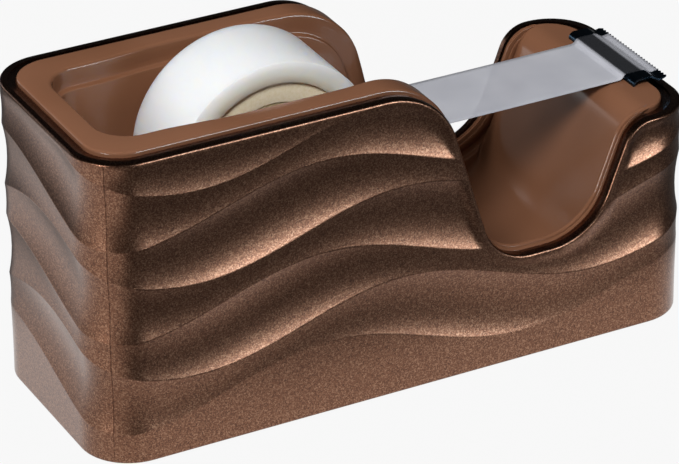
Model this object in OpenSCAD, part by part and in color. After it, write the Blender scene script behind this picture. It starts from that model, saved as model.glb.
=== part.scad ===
// Weighted desk tape dispenser with a wave relief round its housing.
// Origin: middle of the footprint, on the table. +X towards the cutter, +Z up.

/* [Housing] */
// Length of the housing
body_l = 133; // [126:1:145]
// Width of the housing
body_w = 51; // [48.6:0.2:58]
// Height of the rim over the roll, above the table
rim_z = 65.7; // [62:0.1:72]
// Radius of the housing's upright corners
corner_r = 10.5; // [8.5:0.5:12]
// Thickness of the housing's wall
wall_t = 2; // [1.8:0.1:2.4]
// Thickness of the rim's lip, which holds the liner down
lip_t = 2; // [1.6:0.1:2.6]
// Small bevel round the foot of the housing
foot_bevel = 0.4; // [0.2:0.1:1]

/* [Dip and tower] */
// Height of the rim at the bottom of the dip
valley_z = 24; // [20:0.5:28]
// Height of the rim on the tower
tower_z = 47.4; // [44:0.2:52]
// Where the steep side of the dip would meet the high rim
drop_x = 7.2; // [2:0.2:12]
// Slope of the steep side of the dip
drop_angle = 73.3; // [68:0.1:78]
// Rounding at the top of the steep side
drop_top_r = 16.3; // [10:0.1:18]
// Rounding at the bottom of the steep side
drop_foot_r = 11; // [6:0.5:12]
// Where the rise to the tower would start from the valley
rise_x = 42; // [40:0.5:44]
// Slope of the rise to the tower
rise_angle = 69.3; // [66:0.1:74]
// Rounding at the bottom of the rise
rise_foot_r = 14; // [8:0.5:15]
// Rounding at the top of the rise
rise_top_r = 6.6; // [6:0.1:9]

/* [Wave relief] */
// Number of crest lines over the height
crest_lines = 6; // [4:1:7]
// Height of the lowest crest line's middle
crest_z = 11.8; // [9:0.1:14]
// Height from one crest line to the next
crest_pitch = 9.97; // [8.6:0.01:10.4]
// Rise and fall of a crest line
crest_rise = 4.8; // [2:0.1:4.9]
// Whole waves round the housing
waves = 4; // [3:1:6]
// Top of the even crest lines, along the near side from its middle
even_crest_x = -1; // [-20:1:20]
// Top of the odd crest lines, along the near side from its middle
odd_crest_x = -18; // [-30:1:10]
// Depth of the scallops, as a share of the distance between crests
scallop_share = 0.055; // [0.02:0.005:0.07]
// Part of the scallop that is lost in the middle of a corner
corner_fade = 0.35; // [0:0.05:0.6]
// Part of the scallop that the smooth zone at the foot keeps
foot_zone_share = 0.35; // [0:0.05:1]

/* [Rim] */
// Width of the rim along the sides
rim_side = 3.4; // [2.8:0.1:4]
// Width of the rim at the roll end
rim_back = 3; // [2.4:0.1:3.5]
// Width of the rim at the cutter end
rim_front = 3.8; // [2.8:0.1:4]
// Width of the rim's raised outer band
band_w = 1.6; // [0.8:0.1:1.8]
// Drop from the raised band to the inner band
band_step = 0.4; // [0.2:0.1:0.8]

/* [Liner] */
// Height of the liner's flange above the rim
flange_proud = 0.6; // [0.3:0.1:1]
// Radius of the flange's corners
flange_r = 8.5; // [7:0.5:9]
// Thickness of the liner's walls
liner_t = 1.3; // [1:0.1:1.4]
// Thickness of the skirt under the rim's lip
skirt_t = 1.5; // [1:0.1:2.5]
// Half width of the roll well
well_half_w = 15.9; // [14.5:0.1:16.5]
// Free radius of the roll well round the axle
well_r = 37.8; // [34:0.1:38]
// Radius of the roll well's corners
well_corner_r = 7; // [4:0.5:8]
// How far the well's sides bow out beside the roll
bow = 1.2; // [0.6:0.1:1.4]
// Depth of the ledge in the liner's walls, below the rim
ledge_drop = 3.7; // [3.6:0.1:4.2]
// Width of the ledge, and depth of the axle grooves that open on it
ledge_w = 1.2; // [0.8:0.1:1.4]
// Width of the thin lip beside the dip
dip_lip = 0.8; // [0.6:0.1:1.6]
// How far the ramp lies behind the rim's rise to the tower
ramp_set_back = 1.6; // [1:0.1:2.5]
// Rounding at the bottom of the ramp
ramp_foot_r = 20; // [14:1:22]
// Rounding at the top of the ramp
ramp_top_r = 6; // [3:0.5:8]

/* [Axle and hub] */
// Place of the axle along the length
axle_x = -20.7; // [-21.5:0.1:-20]
// Height of the axle above the table
axle_z = 48.8; // [47:0.1:50]
// Diameter of the axle pin
pin_d = 6.2; // [5:0.1:7]
// Diameter of the hub wheel
hub_d = 25.4; // [25:0.1:26]
// Width of the hub wheel
hub_w = 17; // [14:0.5:18]
// Number of ribs in the hub wheel
hub_ribs = 6; // [4:1:8]
// Thickness of the hub wheel's rim, web and ribs
hub_t = 1.8; // [1.4:0.1:2.4]

/* [Tape] */
// Width of the tape
tape_w = 19; // [12:0.5:19]
// Outer diameter of the core
core_d = 34.4; // [30:0.2:36]
// Thickness of the tape wound on the core
wound_t = 4.5; // [1:0.1:12]
// How far the core's faces lie below the roll's faces
core_recess = 0.8; // [0:0.1:1.5]
// Thickness of the free strip
strip_t = 0.3; // [0.2:0.05:0.5]
// Sideways place of the free strip's middle
strip_y = 0; // [-2:0.1:2]
// Height of the free strip over the platform
strip_lift = 0.35; // [0:0.05:1]
// How far before the blade the strip starts to rise
strip_rise_run = 1.3; // [1:0.1:4]

/* [Cutter] */
// Length of the blade across the tower
blade_w = 25.5; // [22:0.5:30]
// Thickness of the blade's sheet
blade_t = 0.4; // [0.3:0.05:0.6]
// Back of the blade, measured from the tower's end
blade_back = 8; // [7.4:0.1:8.4]
// How far the teeth pass the tower's end
blade_reach = 0.1; // [0:0.1:2]
// Height of the blade's arch over the platform
arch_h = 1.45; // [0.9:0.05:2]
// Length of the arch's top
arch_w = 4.4; // [3.5:0.1:4.6]
// Length of the slope from the arch down to the toothed lip
arch_fall = 1.6; // [1.2:0.1:2]
// Rise of the toothed lip towards its tips
lip_rise = 0.25; // [0:0.05:0.6]
// Distance from tooth to tooth
tooth_pitch = 1.02; // [0.8:0.02:1.5]
// Depth of the teeth
tooth_d = 0.8; // [0.4:0.1:1.2]

/* [Base] */
// Height of the housing's foot above the table
pad_proud = 0.6; // [0.3:0.1:1.2]
// Thickness of the base plate
base_t = 3; // [2.6:0.1:4]
// Depth of the pad's recess in the base plate
pad_recess = 0.9; // [0.5:0.1:1]
// Distance from the housing's outline to the pad's edge
pad_inset = 3.6; // [3:0.1:6]
// Place of the screws from the middle, along the length
screw_x = 49; // [46:1:52]
// Diameter of the screws
screw_d = 2.4; // [2:0.1:2.6]
// Diameter of the screw heads
head_d = 4.4; // [4:0.1:4.6]
// Diameter of the screw bosses
boss_d = 5.2; // [5:0.1:5.6]
// Height of the screw bosses over the base plate
boss_h = 12; // [8:1:16]
// Gap between the ballast and the screw bosses
ballast_gap = 0.85; // [0.3:0.05:4]
// Back end of the ballast
ballast_back_x = -42; // [-44:1:-20]

/* [Hidden] */
$fn = 96;

// Clearances: between fitted pieces, round turning pieces, and round loose ones
fit_gap = 0.15;
turn_gap = 0.05;
loose_gap = 0.3;
// Overshoot of a cut past the face that it opens
past = 1;
// Height that clears the whole model
above = 100;
// Largest angle of one flat on a rounded outline
arc_step = 6;

half_l = body_l / 2;
half_w = body_w / 2;
foot_z = pad_proud;
base_top_z = foot_z + base_t;
platform_z = tower_z + flange_proud;
well_x = axle_x - well_r;
well_z = axle_z - well_r;
dip_half_w = half_w - rim_side - dip_lip;
flange_back_x = -half_l + rim_back;
flange_front_x = half_l - rim_front;
boss_sink = 0.15;
screw_y = half_w - wall_t - boss_d / 2 + boss_sink;
ballast_half_w = screw_y - boss_d / 2 - ballast_gap;
groove_y = well_half_w + bow;
roll_d = core_d + 2 * wound_t;
roll_r = roll_d / 2;

// Corners of the rim's side view, with the rounding of each
rise_top_x = rise_x + (tower_z - valley_z) / tan(rise_angle);
drop_foot_x = drop_x + (rim_z - valley_z) / tan(drop_angle);
SADDLE = [[-half_l - past, rim_z],
          [drop_x, rim_z, drop_top_r],
          [drop_foot_x, valley_z, drop_foot_r],
          [rise_x, valley_z, rise_foot_r],
          [rise_top_x, tower_z, rise_top_r],
          [half_l + past, tower_z]];

// Side view of the liner's hollow: well, floor, ramp and platform
ramp_x = rise_top_x + ramp_set_back;
ramp_foot_x = ramp_x - (platform_z - well_z) / tan(rise_angle);
HOLLOW = [[well_x, above],
          [well_x, well_z, well_r],
          [ramp_foot_x, well_z, ramp_foot_r],
          [ramp_x, platform_z, ramp_top_r],
          [half_l + past, platform_z]];

// Top view of the liner's hollow, one half: the bow beside the roll, then the wide dip
bow_x0 = axle_x - 26;
bow_x1 = axle_x - 13;
bow_x2 = axle_x + 11;
bow_x3 = axle_x + 24;
bow_r = 30;
widen_x0 = 11;
widen_x1 = 21;
widen_r = 8;
HOLLOW_PLAN = [[well_x, 0],
               [well_x, well_half_w, well_corner_r],
               [bow_x0, well_half_w, bow_r],
               [bow_x1, well_half_w + bow, bow_r],
               [bow_x2, well_half_w + bow, bow_r],
               [bow_x3, well_half_w, bow_r],
               [widen_x0, well_half_w, widen_r],
               [widen_x1, dip_half_w, widen_r],
               [flange_front_x, dip_half_w, flange_r],
               [flange_front_x, 0]];

// Top views of the housing and of the liner's flange, one half each
BODY_PLAN = [[-half_l, 0], [-half_l, half_w, corner_r], [half_l, half_w, corner_r], [half_l, 0]];
FLANGE_PLAN = [[flange_back_x, 0],
               [flange_back_x, half_w - rim_side, flange_r],
               [flange_front_x, half_w - rim_side, flange_r],
               [flange_front_x, 0]];

// ---- Outlines with rounded corners -------------------------------------------------

function unit(v) = v / norm(v);
function left_of(v) = [-v[1], v[0]];
function turned(v, a) = [v[0] * cos(a) - v[1] * sin(a), v[0] * sin(a) + v[1] * cos(a)];
function flat(p) = [p[0], p[1]];
function reversed(list) = [for (i = [len(list) - 1:-1:0]) list[i]];

// Points of one rounded corner b between a and c, moved sideways by off
function corner_arc(a, b, c, off) =
    let (u = unit(flat(b) - flat(a)),
         v = unit(flat(c) - flat(b)),
         side = u[0] * v[1] - u[1] * v[0] > 0 ? 1 : -1,
         turn = acos(min(1, max(-1, u * v))),
         start = flat(b) - u * b[2] * tan(turn / 2),
         middle = start + left_of(u) * side * b[2],
         spoke = -left_of(u) * side * (b[2] - side * off),
         steps = max(1, ceil(turn / arc_step)))
    [for (i = [0:steps]) middle + turned(spoke, side * turn * i / steps)];

// A path through corners, each rounded by its third number, moved left by off
function rounded_path(path, off = 0) =
    let (last = len(path) - 1,
         first_dir = unit(flat(path[1]) - flat(path[0])),
         last_dir = unit(flat(path[last]) - flat(path[last - 1])))
    concat([flat(path[0]) + left_of(first_dir) * off],
           [for (i = [1:last - 1], p = corner_arc(path[i - 1], path[i], path[i + 1], off)) p],
           [flat(path[last]) + left_of(last_dir) * off]);

// A whole top view from its half, grown outwards by off
module whole_plan(path, off = 0) {
    half = rounded_path(path, off);
    polygon(concat(half, [for (p = reversed(half)) if (abs(p[1]) > 0.001) [p[0], -p[1]]]));
}

module plan_block(path, off, z0, z1) {
    translate([0, 0, z0])
        linear_extrude(z1 - z0)
            whole_plan(path, off);
}

// A side view, drawn in X and Z, given its width along Y
module across(width) {
    rotate([90, 0, 0])
        linear_extrude(width, center = true)
            children();
}

// Everything under the rim's side view, raised by off
module under_saddle(off) {
    across(body_w + 2 * past)
        polygon(concat(rounded_path(SADDLE, off),
                       [[half_l + past, -above], [-half_l - past, -above]]));
}

// The layer between two heights over the rim's side view
module saddle_layer(low, high) {
    across(body_w + 2 * past)
        polygon(concat(rounded_path(SADDLE, high), reversed(rounded_path(SADDLE, low))));
}

// Side view of the liner's hollow, grown outwards by off
module hollow_side(off) {
    polygon(concat(rounded_path(HOLLOW, -off), [[half_l + past, above], [well_x - off, above]]));
}

// The liner's hollow as a solid, grown outwards by off: narrower under the ledge
module hollow(off) {
    intersection() {
        across(body_w)
            hollow_side(off);
        union() {
            difference() {
                plan_block(HOLLOW_PLAN, off, 0, above);
                under_saddle(-ledge_drop - off);
            }
            plan_block(HOLLOW_PLAN, off - ledge_w, 0, above);
        }
    }
}

// ---- Wave relief -------------------------------------------------------------------

side_run = body_l - 2 * corner_r;
end_run = body_w - 2 * corner_r;
turn_run = PI * corner_r / 2;
round_run = 2 * (side_run + end_run) + 4 * turn_run;

// Flats along a side, an end and a corner, and over the height of one scallop
side_flats = 28;
end_flats = 7;
turn_flats = 8;
scallop_flats = 4;

// Starts of the eight stretches of the outline, from the near side's middle
runs = [side_run, turn_run, end_run, turn_run, side_run, turn_run, end_run, turn_run];
flats = [side_flats, turn_flats, end_flats, turn_flats,
         side_flats, turn_flats, end_flats, turn_flats];
function run_start(i) = i == 0 ? -side_run / 2 : run_start(i - 1) + runs[i - 1];

// Corner of the frame that stretch i starts from, and the way the outline faces there
function facing(i) = floor(i / 2) * 90 - 90;
function hinge_point(i) =
    let (q = floor(i / 2) % 4)
    [(q == 0 || q == 1 ? 1 : -1) * (half_l - corner_r), (q == 1 || q == 2 ? 1 : -1) * (half_w - corner_r)];

// A station on the outline: place, outward direction, distance along it, share of relief
function station(i, t) =
    let (s = run_start(i) + runs[i] * t,
         straight = i % 2 == 0,
         a = facing(i) + (straight ? 0 : 90 * t),
         out = [cos(a), sin(a)],
         back = straight ? left_of(out) * runs[i] * (t - 1) : [0, 0],
         fade = straight ? 1 : 1 - corner_fade * pow(sin(180 * t), 2))
    [hinge_point(i) + out * corner_r + back, out, s, fade];
stations = [for (i = [0:7], j = [0:flats[i] - 1]) station(i, j / flats[i])];

// Height of crest line k at distance s along the outline
function crest(k, s) =
    crest_z + k * crest_pitch
    + crest_rise * cos(360 * waves * (s - (k % 2 == 0 ? odd_crest_x : even_crest_x)) / round_run);

// Level k of the shell at distance s: foot bevel, crest lines, rim, kept in order
level_gap = 0.16;
function level(k, s) =
    k == 0 ? foot_z + foot_bevel
    : k > crest_lines ? rim_z
    : min(rim_z - level_gap * (crest_lines + 1 - k), crest(k - 1, s));

// Heights and inward depths up the wall at one station
function wall_rows(s, fade) =
    concat([[foot_z, foot_bevel]],
           [for (k = [0:crest_lines], j = [0:scallop_flats - 1])
               let (low = level(k, s),
                    gap = level(k + 1, s) - low,
                    t = j / scallop_flats,
                    share = scallop_share * fade * (k == 0 ? foot_zone_share : 1))
               [low + gap * t, 4 * t * (1 - t) * gap * share]],
           [[rim_z, 0]]);

module wave_block() {
    rows = 2 + (crest_lines + 1) * scallop_flats;
    n = len(stations);
    points = [for (st = stations, row = wall_rows(st[2], st[3]))
                  let (p = st[0] - st[1] * row[1])
                  [p[0], p[1], row[0]]];
    sides = [for (i = [0:n - 1], j = [0:rows - 2])
                 let (a = i * rows + j, b = ((i + 1) % n) * rows + j)
                 each [[a, a + 1, b + 1], [a, b + 1, b]]];
    foot = [for (i = [0:n - 1]) i * rows];
    top = [for (i = [n - 1:-1:0]) i * rows + rows - 1];
    polyhedron(points, concat(sides, [foot, top]), convexity = 10);
}

// ---- Pieces ------------------------------------------------------------------------

module at_screws() {
    for (sx = [-1, 1], sy = [-1, 1])
        translate([sx * screw_x, sy * screw_y, 0])
            children();
}

module outer_shell() {
    pilot_gap = 0.05;
    color("#4a2e22")
    union() {
        difference() {
            resize([body_l, body_w, rim_z - foot_z])
                intersection() {
                    wave_block();
                    under_saddle(0);
                }
            // inner band of the rim, a step below the outer one
            difference() {
                plan_block(BODY_PLAN, -band_w, 0, above);
                under_saddle(-band_step);
            }
            // inside of the housing, up to the rim's lip
            intersection() {
                plan_block(BODY_PLAN, -wall_t, foot_z - past, above);
                under_saddle(-lip_t);
            }
            // opening for the liner
            plan_block(FLANGE_PLAN, fit_gap, foot_z - past, above);
        }
        at_screws()
            translate([0, 0, base_top_z])
                difference() {
                    cylinder(d = boss_d, h = boss_h);
                    translate([0, 0, -past])
                        cylinder(d = screw_d + 2 * pilot_gap, h = boss_h);
                }
    }
}

module axle_grooves() {
    groove_d = pin_d + 2 * loose_gap / 3;
    for (side = [-1, 1])
        translate([axle_x, side * groove_y / 2, axle_z]) {
            rotate([90, 0, 0])
                cylinder(d = groove_d, h = groove_y, center = true);
            translate([-groove_d / 2, -groove_y / 2, 0])
                cube([groove_d, groove_y, above]);
        }
}

module inner_liner() {
    cheek_w = pin_d + 2 * liner_t + 1;
    slot_t = blade_t + 2 * fit_gap;
    skirt_lap = 1;
    color("#7a4a33")
    difference() {
        union() {
            intersection() {
                plan_block(FLANGE_PLAN, 0, 0, above);
                saddle_layer(-lip_t, flange_proud);
            }
            // skirt under the rim's lip, outside the tub
            difference() {
                intersection() {
                    plan_block(BODY_PLAN, -wall_t - fit_gap, 0, above);
                    saddle_layer(-lip_t - skirt_t, -lip_t);
                }
                plan_block(HOLLOW_PLAN, -skirt_lap, 0, above);
            }
            intersection() {
                hollow(liner_t);
                under_saddle(-lip_t);
            }
            // cheeks that the axle grooves are cut in
            intersection() {
                translate([axle_x - cheek_w / 2, -groove_y - liner_t, axle_z - cheek_w / 2])
                    cube([cheek_w, 2 * (groove_y + liner_t), above]);
                under_saddle(-lip_t);
            }
        }
        hollow(0);
        axle_grooves();
        translate([blade_back_x - fit_gap, -blade_w / 2 - fit_gap, platform_z - blade_leg - fit_gap])
            cube([slot_t, blade_w + 2 * fit_gap, above]);
    }
}

// Corners of the blade's side view, along its upper face
blade_leg = 1.8;
blade_back_x = half_l - blade_back;
blade_tip_x = half_l + blade_reach;
arch_front_x = blade_back_x + arch_w;
arch_z = platform_z + arch_h;
lip_x = arch_front_x + arch_fall;
lip_z = platform_z + blade_t + 0.05;
arch_back_r = 1.3;
arch_front_r = 1.4;
lip_r = 0.9;
BLADE = [[blade_back_x, platform_z - blade_leg],
         [blade_back_x, arch_z, arch_back_r],
         [arch_front_x, arch_z, arch_front_r],
         [lip_x, lip_z, lip_r],
         [blade_tip_x, lip_z + lip_rise]];

module cutter_blade() {
    teeth = floor(blade_w / tooth_pitch);
    color("#aab0b8")
    difference() {
        across(blade_w)
            polygon(concat(rounded_path(BLADE), reversed(rounded_path(BLADE, -blade_t))));
        for (i = [0:teeth])
            translate([blade_tip_x, (i - teeth / 2) * tooth_pitch, platform_z - blade_leg])
                linear_extrude(2 * blade_leg)
                    polygon([[past, tooth_pitch / 2 * (1 + past / tooth_d)],
                             [-tooth_d, 0],
                             [past, -tooth_pitch / 2 * (1 + past / tooth_d)]]);
    }
}

module ballast_block() {
    front_gap = 4;
    color("#3c3c3e")
    across(2 * ballast_half_w)
        difference() {
            translate([ballast_back_x, base_top_z])
                square([half_l - wall_t - front_gap - ballast_back_x,
                        tower_z - lip_t - skirt_t - loose_gap - base_top_z]);
            hollow_side(liner_t + loose_gap);
        }
}

module base_plate() {
    head_h = screw_d / 2;
    color("#2a2422")
    difference() {
        plan_block(BODY_PLAN, -wall_t - fit_gap, foot_z, base_top_z);
        plan_block(BODY_PLAN, fit_gap - pad_inset, foot_z - past, foot_z + pad_recess);
        at_screws() {
            cylinder(d = screw_d + 2 * fit_gap, h = above);
            cylinder(d = head_d + 2 * fit_gap, h = foot_z + pad_recess + head_h);
        }
    }
}

module base_screws() {
    head_h = screw_d / 2;
    tip_gap = 1.5;
    color("#8d8f92")
    at_screws()
        translate([0, 0, foot_z + pad_recess]) {
            cylinder(d = head_d, h = head_h);
            cylinder(d = screw_d, h = base_t - pad_recess + boss_h - past - tip_gap);
        }
}

module base_pad() {
    color("#1d1d1e")
    plan_block(BODY_PLAN, -pad_inset, 0, foot_z + pad_recess);
}

// Turns a piece made along Z onto the axle
module on_axle() {
    translate([axle_x, 0, axle_z])
        rotate([90, 0, 0])
            children();
}

module ring(outer_d, inner_d, width) {
    difference() {
        cylinder(d = outer_d, h = width, center = true);
        cylinder(d = inner_d, h = width + 2 * past, center = true);
    }
}

module axle_pin() {
    color("#c9ccd0")
    on_axle()
        cylinder(d = pin_d, h = 2 * (groove_y - fit_gap), center = true);
}

module hub_wheel() {
    bore_d = pin_d + 2 * turn_gap;
    sleeve_d = pin_d + 2 * hub_t + 1;
    rib_run = (hub_d - sleeve_d) / 2 - hub_t + 1;
    color("#e6e4de")
    on_axle()
        difference() {
            union() {
                ring(hub_d, hub_d - 2 * hub_t, hub_w);
                cylinder(d = sleeve_d, h = hub_w, center = true);
                cylinder(d = hub_d - hub_t, h = hub_t, center = true);
                for (i = [0:hub_ribs - 1])
                    rotate(360 * i / hub_ribs)
                        translate([(sleeve_d - 1) / 2, -hub_t / 2, -hub_w / 2])
                            cube([rib_run, hub_t, hub_w]);
            }
            cylinder(d = bore_d, h = hub_w + 2 * past, center = true);
        }
}

module tape_core() {
    color("#b7a27c")
    on_axle()
        ring(core_d, hub_d + 2 * turn_gap, tape_w - 2 * core_recess);
}

module tape_roll() {
    color("#eef0ee")
    on_axle()
        ring(roll_d, core_d + 2 * turn_gap, tape_w);
}

// Free strip: leaves the roll's front, runs level over the dip and follows the blade to its teeth
lead_r = 3.8;
film_gap = 0.02;
lead_x = axle_x + roll_r + loose_gap;
strip_z = platform_z + strip_lift;
STRIP = [[lead_x, strip_z + lead_r + loose_gap],
         [lead_x, strip_z, lead_r],
         [blade_back_x - strip_rise_run, strip_z, 2],
         [blade_back_x, arch_z + film_gap, 1],
         [arch_front_x, arch_z + film_gap, arch_front_r],
         [lip_x, lip_z + film_gap, lip_r],
         [blade_tip_x - tooth_d / 2, lip_z + lip_rise + film_gap]];

module tape_lead() {
    color("#c8cdd2")
    translate([0, strip_y, 0])
        across(tape_w)
            polygon(concat(rounded_path(STRIP, strip_t), reversed(rounded_path(STRIP))));
}

outer_shell();
inner_liner();
ballast_block();
base_plate();
base_screws();
base_pad();
cutter_blade();
axle_pin();
hub_wheel();
tape_core();
tape_roll();
tape_lead();
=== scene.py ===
"""Looks of a weighted desk tape dispenser: bronze housing with a wave relief, glossy brown liner,
toothed cutter and a roll of tape. All sizes are in millimetres until a point is made."""

import math

import bmesh
import bpy
from mathutils import Matrix, Vector


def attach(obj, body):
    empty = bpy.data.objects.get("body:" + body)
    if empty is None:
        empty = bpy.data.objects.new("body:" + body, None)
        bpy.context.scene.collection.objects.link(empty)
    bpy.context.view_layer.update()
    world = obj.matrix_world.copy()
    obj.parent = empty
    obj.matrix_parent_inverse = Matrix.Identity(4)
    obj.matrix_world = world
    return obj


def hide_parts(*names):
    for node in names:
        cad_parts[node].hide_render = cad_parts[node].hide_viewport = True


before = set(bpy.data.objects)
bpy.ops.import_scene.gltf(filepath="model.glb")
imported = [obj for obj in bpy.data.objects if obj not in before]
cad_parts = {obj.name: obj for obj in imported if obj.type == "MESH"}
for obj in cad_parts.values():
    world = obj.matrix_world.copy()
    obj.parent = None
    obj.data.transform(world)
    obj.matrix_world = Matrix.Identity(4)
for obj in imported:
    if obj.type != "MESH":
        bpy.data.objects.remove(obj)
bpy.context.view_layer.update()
MM = 0.001

# Housing, and how far its middle is from the ends of its straight stretches
HALF_L, HALF_W, CORNER_R = 66.5, 25.5, 10.5
STRAIGHT_L, STRAIGHT_W, QUARTER = HALF_L - CORNER_R, HALF_W - CORNER_R, math.pi * CORNER_R / 2
FOOT_Z, RIM_Z, VALLEY_Z, TOWER_Z = 0.6, 65.7, 24.0, 47.4
WALL_T, LIP_T, FOOT_ROUND, RIM_ROUND = 2.0, 2.0, 0.4, 0.6
INNER_BAND, BAND_STEP, TIP_BREAK = 1.7, 0.4, 0.15
RIM_SIDE, RIM_BACK, RIM_FRONT, RIM_SWELL = 3.4, 3.0, 3.8, 0.25
# Side view of the rim: its drop into the dip and its rise to the tower
DROP_X, DROP_ANGLE, DROP_TOP_R, DROP_FOOT_R = 7.2, 73.3, 16.3, 11.0
RISE_X, RISE_ANGLE, RISE_TOP_R, RISE_FOOT_R = 42.0, 69.3, 6.6, 14.0
# Liner and well
PROUD, FLANGE_ROUND, WELL_ROUND, FLOOR_ROUND, BACK_ROUND, LEDGE_ROUND = 0.6, 0.5, 0.7, 2.5, 0.6, 0.3
WELL_HALF_W, DIP_HALF_W, DIP_LIP = 15.9, 21.3, 0.8
AXLE = (-20.7, 48.8)
WELL_R, WELL_CORNER, FRONT_CORNER, LINER_T, LINER_GAP = 37.8, 7.0, 8.5, 1.2, 0.08
GROOVE_W, GROOVE_FOOT, LEDGE_DROP, LEDGE_W = 6.4, 24.0, 3.7, 1.2
# Where the floor comes up to the ledge: its height above the floor where it ends, and over which
# it narrows
LEDGE_END, LEDGE_RUN_OUT, LEDGE_CLEAR = 1.0, 2.0, 0.1
RAMP_SET_BACK, RAMP_FOOT_R, RAMP_TOP_R = 1.6, 20.0, 6.0
# The bow of the well's sides, from the axle to its four bends, and the widening to the dip
BOW, BOW_R, BOW_BENDS = 1.2, 30.0, (-26, -13, 11, 24)
WIDEN_START, WIDEN_END, WIDEN_R = 11.0, 21.0, 8.0
PLATFORM_Z = TOWER_Z + PROUD
BLADE_BACK = HALF_L - 8.0
# Waves
WAVES, CREST_LINES, CREST_Z, CREST_PITCH, CREST_RISE = 4, 6, 11.8, 9.97, 4.8
EVEN_X, ODD_X, SCALLOP, CORNER_FADE, FOOT_SHARE = -1.0, -18.0, 0.05, 0.35, 0.1
# Rows of the relief keep this far apart below the rim's top, join its edge when nearer than this,
# and fade into it over this height
ROW_GAP, ROW_JOIN, RIM_FADE = 0.03, 0.04, 2.5
# Mould line on two opposite corners: its place along the corner, and its width and depth
MOULD_LINE, LINE_W, LINE_D, LINE_CORNERS = 0.53, 0.24, 0.1, (3, 7)
# Tape
TAPE_W, ROLL_R, CORE_R, HUB_R, CORE_RECESS = 19.0, 21.69, 17.2, 12.75, 0.8
CORE_GAP, ROLL_ROUND, CORE_ROUND, RING_STEPS = 0.05, 0.15, 0.3, 160


# ---- Outlines ------------------------------------------------------------------------
# A side or top view is a path of corners: two coordinates each, and a radius between its ends.


def bends(path):
    """Rounded corners of a side view: middle, radius, side it bends to, directions in and out."""
    found = []
    for a, b, c in zip(path, path[1:], path[2:]):
        into = (Vector(b[:2]) - Vector(a[:2])).normalized()
        out = (Vector(c[:2]) - Vector(b[:2])).normalized()
        side = 1 if into.x * out.y - into.y * out.x > 0 else -1
        turn = into.angle(out)
        start = Vector(b[:2]) - into * b[2] * math.tan(turn / 2)
        found.append((start + Vector((-into.y, into.x)) * side * b[2], b[2], side, into, out))
    return found


def height(view, x, lift=0.0):
    """Height of a side view over x when it is raised by lift, and its upward direction there."""
    for middle, r, side, into, out in view:
        radius = r - side * lift
        first = middle - Vector((-into.y, into.x)) * side * radius
        last = middle - Vector((-out.y, out.x)) * side * radius
        if x < first.x:
            return first.y + (x - first.x) * into.y / into.x, Vector((-into.y, into.x))
        if x <= last.x:
            dx = x - middle.x
            dz = -side * math.sqrt(max(radius * radius - dx * dx, 0))
            return middle.y + dz, Vector((dx, dz)) * -side / radius
    return last.y + (x - last.x) * out.y / out.x, Vector((-out.y, out.x))


# Side view of the rim
DROP_TAN, RISE_TAN = math.tan(math.radians(DROP_ANGLE)), math.tan(math.radians(RISE_ANGLE))
RISE_TOP_X = RISE_X + (TOWER_Z - VALLEY_Z) / RISE_TAN
SADDLE = bends([(-HALF_L - 1, RIM_Z), (DROP_X, RIM_Z, DROP_TOP_R),
                (DROP_X + (RIM_Z - VALLEY_Z) / DROP_TAN, VALLEY_Z, DROP_FOOT_R),
                (RISE_X, VALLEY_Z, RISE_FOOT_R), (RISE_TOP_X, TOWER_Z, RISE_TOP_R),
                (HALF_L + 1, TOWER_Z)])
# Side view of the well's floor, from its back wall round the roll and up the ramp
WELL_X, WELL_Z = AXLE[0] - WELL_R, AXLE[1] - WELL_R
RAMP_X = RISE_TOP_X + RAMP_SET_BACK
FLOOR = bends([(WELL_X, AXLE[1] + WELL_R), (WELL_X, WELL_Z, WELL_R),
               (RAMP_X - (PLATFORM_Z - WELL_Z) / RISE_TAN, WELL_Z, RAMP_FOOT_R),
               (RAMP_X, PLATFORM_Z, RAMP_TOP_R), (HALF_L + 1, PLATFORM_Z)])
# Top view of the well's far side
FRONT_X = HALF_L - RIM_FRONT - DIP_LIP
WELL_SIDE = bends([(WELL_X, WELL_HALF_W)]
                  + [(AXLE[0] + BOW_BENDS[i], WELL_HALF_W + (BOW if i in (1, 2) else 0.0), BOW_R)
                     for i in range(4)]
                  + [(WIDEN_START, WELL_HALF_W, WIDEN_R), (WIDEN_END, DIP_HALF_W, WIDEN_R),
                     (HALF_L, DIP_HALF_W)])


def blend(a, b, t):
    """The value at share t of the way from a to b."""
    return a + (b - a) * t


def smooth(t):
    """A share from 0 to 1 that starts and stops gently."""
    t = min(max(t, 0.0), 1.0)
    return t * t * (3 - 2 * t)


# Steps round the outline; the fine ones are for where the rim drops and rises
FINE_STEP, PLAIN_STEP, STEEP_STRETCHES = 0.35, 1.0, ((-7, 30), (33, 55))
END_STEPS, CORNER_STEPS, END_CLEAR = 27, 14, 0.3
GROOVE_PAIR, GROOVE_CLEAR = 0.03, 0.2


def side_steps():
    """Places along a long side, closer together where the rim drops and rises, with a pair at each
    edge of a groove."""
    x, places = -STRAIGHT_L, []
    while x < STRAIGHT_L - END_CLEAR:
        places.append(x)
        x += FINE_STEP if any(a < x < b for a, b in STEEP_STRETCHES) else PLAIN_STEP
    edges = [AXLE[0] + side * GROOVE_W / 2 + nudge
             for side in (-1, 1) for nudge in (-GROOVE_PAIR, GROOVE_PAIR)]
    kept = [p for p in places if all(abs(p - e) > GROOVE_CLEAR for e in edges)]
    return sorted(kept + edges)


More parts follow.
